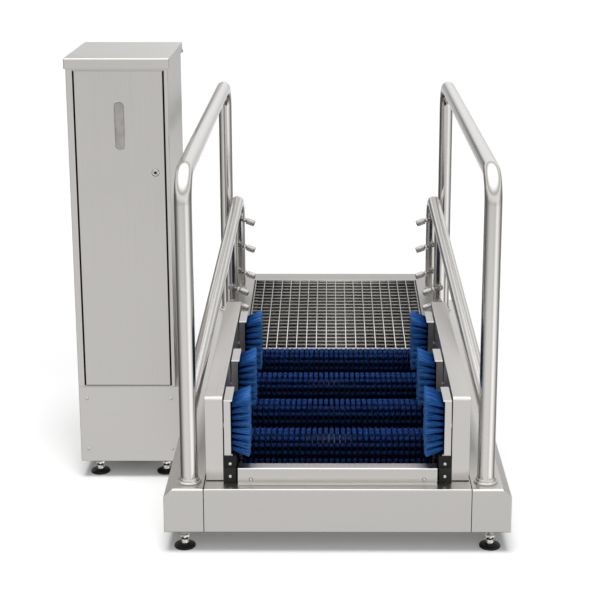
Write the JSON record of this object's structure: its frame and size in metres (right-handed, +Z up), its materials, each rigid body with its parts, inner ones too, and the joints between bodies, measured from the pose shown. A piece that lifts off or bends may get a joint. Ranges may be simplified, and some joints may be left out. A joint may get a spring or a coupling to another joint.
{
  "type": "boot washer",
  "caption": "Walk-through boot washer: sole brush rollers in a pit, side brushes, grating deck, handrails, lower rails with spray nozzles and a supply cabinet alongside.",
  "frame": {"origin": "middle of the whole footprint, cabinet included, on the floor", "axes": "+Y is the walking direction, from the brush rollers to the grating deck; +X is to the walking person's right, away from the cabinet; +Z is up"},
  "size_m": [1.278, 1.772, 1.3126],
  "materials": {
    "stainless": "brushed stainless sheet and tube",
    "grating_steel": "pickled stainless bars",
    "drive_steel": "machined steel, lightly oiled",
    "bristles": "deep blue nylon bristles",
    "black_plastic": "black moulded plastic",
    "motor_paint": "grey-blue enamel",
    "window_plastic": "frosted grey sheet",
    "canister_plastic": "translucent white polyethylene"
  },
  "bodies": {
    "frame": {"base_foot_left_1": "black_plastic", "base_foot_left_2": "black_plastic", "base_foot_right_1": "black_plastic", "base_foot_right_2": "black_plastic", "base_tray": "stainless", "bearing_rail_left": "black_plastic", "bearing_rail_right": "black_plastic", "brush_holder_left_1": "stainless", "brush_holder_left_2": "stainless", "brush_holder_left_3": "stainless", "brush_holder_right_1": "stainless", "brush_holder_right_2": "stainless", "brush_holder_right_3": "stainless", "cabinet_body": "stainless", "cabinet_foot_1": "black_plastic", "cabinet_foot_2": "black_plastic", "cabinet_foot_3": "black_plastic", "cabinet_foot_4": "black_plastic", "cabinet_plinth": "stainless", "canister": "canister_plastic", "deck_frame": "stainless", "deck_grating": "grating_steel", "drive_chain": "drive_steel", "drive_cover_left": "stainless", "drive_cover_right": "stainless", "front_lip": "stainless", "gear_motor": "motor_paint", "handrail_left": "stainless", "handrail_right": "stainless", "lower_rail_left": "stainless", "lower_rail_right": "stainless", "side_beam_left": "stainless", "side_beam_right": "stainless", "side_brush_left_1": "bristles", "side_brush_left_2": "bristles", "side_brush_left_3": "bristles", "side_brush_right_1": "bristles", "side_brush_right_2": "bristles", "side_brush_right_3": "bristles"},
    "roller_1": {"sole_brush_1": "bristles", "brush_shaft_1": "drive_steel"},
    "roller_2": {"sole_brush_2": "bristles", "brush_shaft_2": "drive_steel"},
    "roller_3": {"sole_brush_3": "bristles", "brush_shaft_3": "drive_steel"},
    "roller_4": {"sole_brush_4": "bristles", "brush_shaft_4": "drive_steel"},
    "output_shaft": {"drive_sprocket": "drive_steel"},
    "door": {"cabinet_door": "stainless", "sight_window": "window_plastic"},
    "lock": {"door_lock": "stainless"},
    "lid": {"cabinet_lid": "stainless"},
    "nozzle_left_1": {"spray_nozzle_left_1": "stainless"},
    "nozzle_left_2": {"spray_nozzle_left_2": "stainless"},
    "nozzle_left_3": {"spray_nozzle_left_3": "stainless"},
    "nozzle_left_4": {"spray_nozzle_left_4": "stainless"},
    "nozzle_right_1": {"spray_nozzle_right_1": "stainless"},
    "nozzle_right_2": {"spray_nozzle_right_2": "stainless"},
    "nozzle_right_3": {"spray_nozzle_right_3": "stainless"},
    "nozzle_right_4": {"spray_nozzle_right_4": "stainless"}
  },
  "joints": [
    {"name": "roller_1_spin", "type": "hinge", "parent": "frame", "child": "roller_1", "pos_m": [0.159, -0.699, 0.215], "axis": [1, 0, 0], "continuous": true},
    {"name": "roller_2_spin", "type": "hinge", "parent": "frame", "child": "roller_2", "pos_m": [0.159, -0.4657, 0.215], "axis": [1, 0, 0], "continuous": true},
    {"name": "roller_3_spin", "type": "hinge", "parent": "frame", "child": "roller_3", "pos_m": [0.159, -0.2324, 0.215], "axis": [1, 0, 0], "continuous": true},
    {"name": "roller_4_spin", "type": "hinge", "parent": "frame", "child": "roller_4", "pos_m": [0.159, 0.0009, 0.215], "axis": [1, 0, 0], "continuous": true},
    {"name": "output_shaft_spin", "type": "hinge", "parent": "frame", "child": "output_shaft", "pos_m": [-0.161, 0.236, 0.215], "axis": [1, 0, 0], "continuous": true},
    {"name": "door_hinge", "type": "hinge", "parent": "frame", "child": "door", "pos_m": [-0.61, -0.378, 0.79], "axis": [0, 0, -1], "range_deg": [0, 110]},
    {"name": "lock_turn", "type": "hinge", "parent": "door", "child": "lock", "pos_m": [-0.379, -0.381, 0.9725], "axis": [0, -1, 0], "range_deg": [0, 90]},
    {"name": "lid_hinge", "type": "hinge", "parent": "frame", "child": "lid", "pos_m": [-0.485, 0.007, 1.2816], "axis": [-1, 0, 0], "range_deg": [0, 100]},
    {"name": "nozzle_left_1_tilt", "type": "hinge", "parent": "frame", "child": "nozzle_left_1", "pos_m": [-0.206, 0.6955, 0.57011], "axis": [0, 1, 0], "range_deg": [-20, 20]},
    {"name": "nozzle_left_2_tilt", "type": "hinge", "parent": "frame", "child": "nozzle_left_2", "pos_m": [-0.206, 0.6955, 0.4667], "axis": [0, 1, 0], "range_deg": [-20, 20]},
    {"name": "nozzle_left_3_tilt", "type": "hinge", "parent": "frame", "child": "nozzle_left_3", "pos_m": [-0.206, 0.6955, 0.36329], "axis": [0, 1, 0], "range_deg": [-20, 20]},
    {"name": "nozzle_left_4_tilt", "type": "hinge", "parent": "frame", "child": "nozzle_left_4", "pos_m": [-0.21502, 0.3995, 0.38684], "axis": [0, 1, 0], "range_deg": [-20, 20]},
    {"name": "nozzle_right_1_tilt", "type": "hinge", "parent": "frame", "child": "nozzle_right_1", "pos_m": [0.524, 0.6955, 0.57011], "axis": [0, 1, 0], "range_deg": [-20, 20]},
    {"name": "nozzle_right_2_tilt", "type": "hinge", "parent": "frame", "child": "nozzle_right_2", "pos_m": [0.524, 0.6955, 0.4667], "axis": [0, 1, 0], "range_deg": [-20, 20]},
    {"name": "nozzle_right_3_tilt", "type": "hinge", "parent": "frame", "child": "nozzle_right_3", "pos_m": [0.524, 0.6955, 0.36329], "axis": [0, 1, 0], "range_deg": [-20, 20]},
    {"name": "nozzle_right_4_tilt", "type": "hinge", "parent": "frame", "child": "nozzle_right_4", "pos_m": [0.53302, 0.3995, 0.38684], "axis": [0, 1, 0], "range_deg": [-20, 20]}
  ],
  "couplings": [
    {"joint": "roller_2_spin", "follows": "roller_1_spin", "ratio": 1},
    {"joint": "roller_3_spin", "follows": "roller_1_spin", "ratio": 1},
    {"joint": "roller_4_spin", "follows": "roller_1_spin", "ratio": 1},
    {"joint": "output_shaft_spin", "follows": "roller_1_spin", "ratio": 1}
  ]
}
